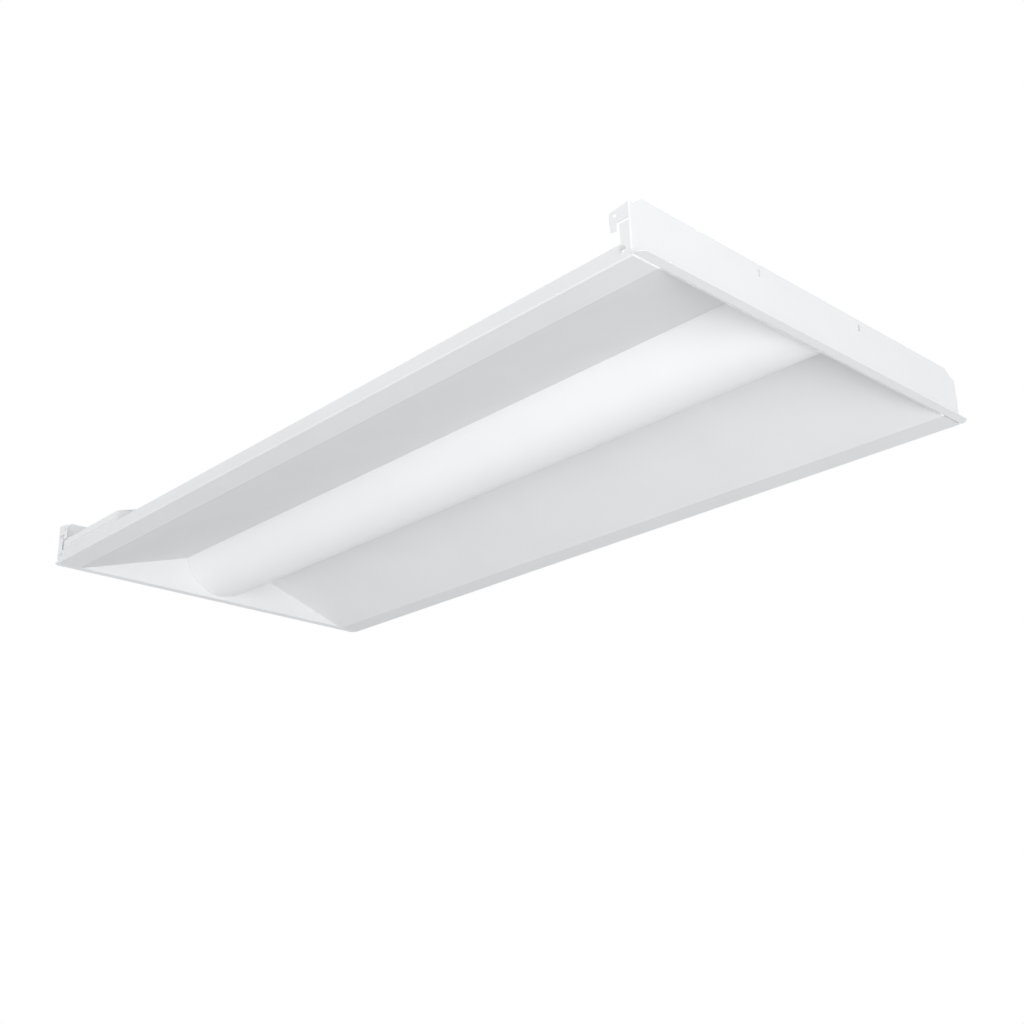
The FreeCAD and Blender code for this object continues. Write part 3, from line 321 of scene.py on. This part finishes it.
def mesh_object(name, points, faces, material):
    """A new mesh in the scene, of one material."""
    mesh = bpy.data.meshes.new(name)
    mesh.from_pydata(points, [], faces)
    mesh.materials.append(material)
    return scene_object(name, mesh)


def face_along(thing, direction):
    """Turns a lamp or a camera to look in that direction."""
    thing.rotation_mode = "QUATERNION"
    thing.rotation_quaternion = direction.to_track_quat("-Z", "Y")


def measured(points, outward):
    """Middle of a fastener's seat, its sides and the sizes of its head and shank."""
    side = outward.orthogonal().normalized()
    other = outward.cross(side)
    axis_point = side * middle(points, side) + other * middle(points, other)
    heights = [point.dot(outward) for point in points]
    radii = [(point - axis_point - outward * height).length for point, height in zip(points, heights)]
    head = max(radii)
    seat = min(height for height, radius in zip(heights, radii) if radius > RIM_SHARE * head)
    tail = min(heights)
    shank = max(radius for height, radius in zip(heights, radii) if height < tail + TAIL_LENGTH)
    return axis_point + outward * seat, side, other, head, max(heights) - seat, shank, seat - tail


def cross_recess(x, y):
    """Depth of a cross recess, which is shallower towards the ends of its arms."""
    arm, reach = sorted((abs(x), abs(y)))
    inside = arm < RECESS_ARM and reach < RECESS_REACH
    return RECESS_DEPTH * (1.0 - reach / RECESS_REACH) ** 0.5 if inside else 0.0


def mandrel_dimple(x, y):
    """Depth of the dimple that a blind rivet's mandrel leaves."""
    return DIMPLE_DEPTH if math.hypot(x, y) < DIMPLE_RADIUS else 0.0


def head_rise(x, y, dip):
    """Share of a head's height at its face: flat inside, domed to the rim, less what dips into it."""
    domed = max(0.0, (math.hypot(x, y) - DOME_START) / (1.0 - DOME_START))
    return max(HEAD_LEAST, 1.0 - DOME_FALL * domed ** 2 - dip(x, y))


def ring(radius):
    """Steps round a circle of that radius."""
    turns = [2 * math.pi * step / HEAD_STEPS for step in range(HEAD_STEPS)]
    return [(math.cos(turn) * radius, math.sin(turn) * radius) for turn in turns]


def turned_points(group, outward, dip):
    """Points of one fastener: its face from the middle out, the underside of its head, and its shank."""
    seat, side, other, head, height, shank, depth = measured(group, outward)
    points = [seat + outward * (height * head_rise(0.0, 0.0, dip))]
    for count in range(1, HEAD_RINGS + 1):
        for x, y in ring(head * count / HEAD_RINGS):
            rise = height * head_rise(x / head, y / head, dip)
            points.append(seat + side * x + other * y + outward * rise)
    for radius, level in ((head, 0.0), (shank, 0.0), (shank, -depth)):
        points += [seat + side * x + other * y + outward * level for x, y in ring(radius)]
    points.append(seat - outward * depth)
    return points


def turned_faces(first, last):
    """Faces of one fastener, between its first point, its rings and its last point."""
    faces = []
    rim = last - HEAD_STEPS
    for step in range(HEAD_STEPS):
        after = (step + 1) % HEAD_STEPS
        faces.append((first, first + 1 + step, first + 1 + after))
        for low in range(first + 1, rim, HEAD_STEPS):
            high = low + HEAD_STEPS
            faces.append((low + step, high + step, high + after, low + after))
        faces.append((rim + step, last, rim + after))
    return faces


def work_heads(name, node_name, outward_of, dip, body, slot_name):
    """Round fasteners with a worked head, in the places of a node of plain ones."""
    points, faces = [], []
    for group in clusters(node_name):
        first = len(points)
        points += turned_points(group, outward_of(group[0]).normalized(), dip)
        faces += turned_faces(first, len(points) - 1)
    worked = mesh_object(name, points, faces, FINISHES[slot_name])
    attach(worked, body)
    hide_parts(node_name)


def endwards(point):
    """Along the light, towards the end that is nearer to the point."""
    return ALONG * math.copysign(1.0, point.x)


def sidewards(point):
    """Across the light, towards the side that is nearer to the point."""
    return ACROSS * math.copysign(1.0, point.y)


def always(direction):
    """The same direction for every point."""
    return lambda point: direction


def leaned(angle):
    """Straight up, leaned by the angle towards the front."""
    return Vector((0.0, -math.sin(angle), math.cos(angle)))


def make_fasteners():
    """Every screw and rivet, with its head outward from the sheet that it holds."""
    down = always(DOWN)
    off_slope = always(leaned(REFLECTOR_ANGLE))
    off_cover = always(leaned(COVER_ANGLE))
    work_heads("bracket_screws_worked", "bracket_screws", sidewards, cross_recess, "housing", "zinc_steel")
    work_heads("end_rivets_worked", "end_rivets", endwards, mandrel_dimple, "housing", "white_rivets")
    work_heads("tray_rivets_worked", "tray_rivets", sidewards, mandrel_dimple, "housing", "zinc_steel")
    work_heads("board_screws_worked", "board_screws", down, cross_recess, "housing", "zinc_steel")
    work_heads("driver_screws_worked", "driver_screws", off_slope, cross_recess, "housing", "zinc_steel")
    work_heads("earth_screw_worked", "earth_screw", off_slope, cross_recess, "housing", "earth_green")
    work_heads("cover_screw_worked", "access_cover_screw", off_cover, cross_recess, "cover", "zinc_steel")


def round_leads():
    """The leads' flats, rounded to the curve of their insulation."""
    for name in ("output_leads", "input_leads", "row_jumpers"):
        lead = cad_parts[name]
        weld = lead.modifiers.new("weld", "WELD")
        weld.merge_threshold = WELD_REACH
        smooth = lead.modifiers.new("round", "SUBSURF")
        smooth.levels = LEAD_ROUNDINGS
        smooth.render_levels = LEAD_ROUNDINGS


def make_world():
    """White to the eye and in reflections, and a soft even light on the object."""
    world = bpy.data.worlds.new("studio")
    bpy.context.scene.world = world
    world.use_nodes = True
    tree = NodeTree(world.node_tree)
    ambient = {"Color": AMBIENT_COLOUR, "Strength": AMBIENT_STRENGTH}
    light = tree.feed(tree.nodes["Background"], ambient)["Background"]
    white = tree.feed(tree.add("Background"), {"Color": WHITE, "Strength": 1.0})["Background"]
    tree.show("World Output", tree.seen_ray(), light, white)


def make_floor():
    """A pale floor below the light, that runs out into the white around it."""
    finish = Finish("pale_floor")
    finish.clouds(FLOOR_DARK, FLOOR_LIGHT, scale=40.0, detail=3.0)
    pale = finish.surface({"Roughness": FLOOR_ROUGHNESS})["BSDF"]
    fade = finish.ramp(finish.flat_distance(*finish.flat_place()), FLOOR_FADE_START, FLOOR_FADE_END)
    white = finish.feed(finish.add("Emission"), {"Color": WHITE})["Emission"]
    finish.show("Material Output", finish.arithmetic("MULTIPLY", fade, finish.seen_ray()), pale, white)
    corners = [(-1, -1), (1, -1), (1, 1), (-1, 1)]
    points = [(x * FLOOR_HALF, y * FLOOR_HALF, -FLOOR_DEPTH) for x, y in corners]
    floor = mesh_object("floor", points, [(0, 1, 2, 3)], finish.material)


def make_lamp(name, place, power):
    """A large soft lamp, turned towards the middle of the light."""
    data = bpy.data.lights.new(name, "AREA")
    data.shape = "DISK"
    data.size = LAMP_SIZE
    data.energy = power
    lamp = scene_object(name, data)
    lamp.location = place
    lamp.visible_camera = False
    face_along(lamp, -Vector(place))


def make_camera():
    """The photograph's camera: below the ceiling, looking up along the light."""
    data = bpy.data.cameras.new("camera")
    data.lens = CAMERA_LENS
    data.sensor_fit = "HORIZONTAL"
    data.sensor_width = CAMERA_SENSOR
    data.shift_x, data.shift_y = CAMERA_SHIFT
    data.clip_start = CAMERA_NEAREST
    data.clip_end = CAMERA_FARTHEST
    camera = scene_object("camera", data)
    camera.location = CAMERA_PLACE
    level = math.cos(CAMERA_PITCH)
    ahead = (level * math.cos(CAMERA_YAW), level * math.sin(CAMERA_YAW), math.sin(CAMERA_PITCH))
    face_along(camera, Vector(ahead))
    bpy.context.scene.camera = camera


finish_nodes()
make_fasteners()
round_leads()
make_world()
make_floor()
make_lamp("key", (3.0, -2.6, -1.1), 54.0)
make_lamp("end", (3.6, -0.9, -1.5), 40.0)
make_lamp("side", (-0.8, -2.8, -0.5), 16.0)
make_lamp("top", (-1.0, 0.8, 3.2), 36.0)
make_camera()
bpy.context.scene.view_settings.view_transform = "Standard"
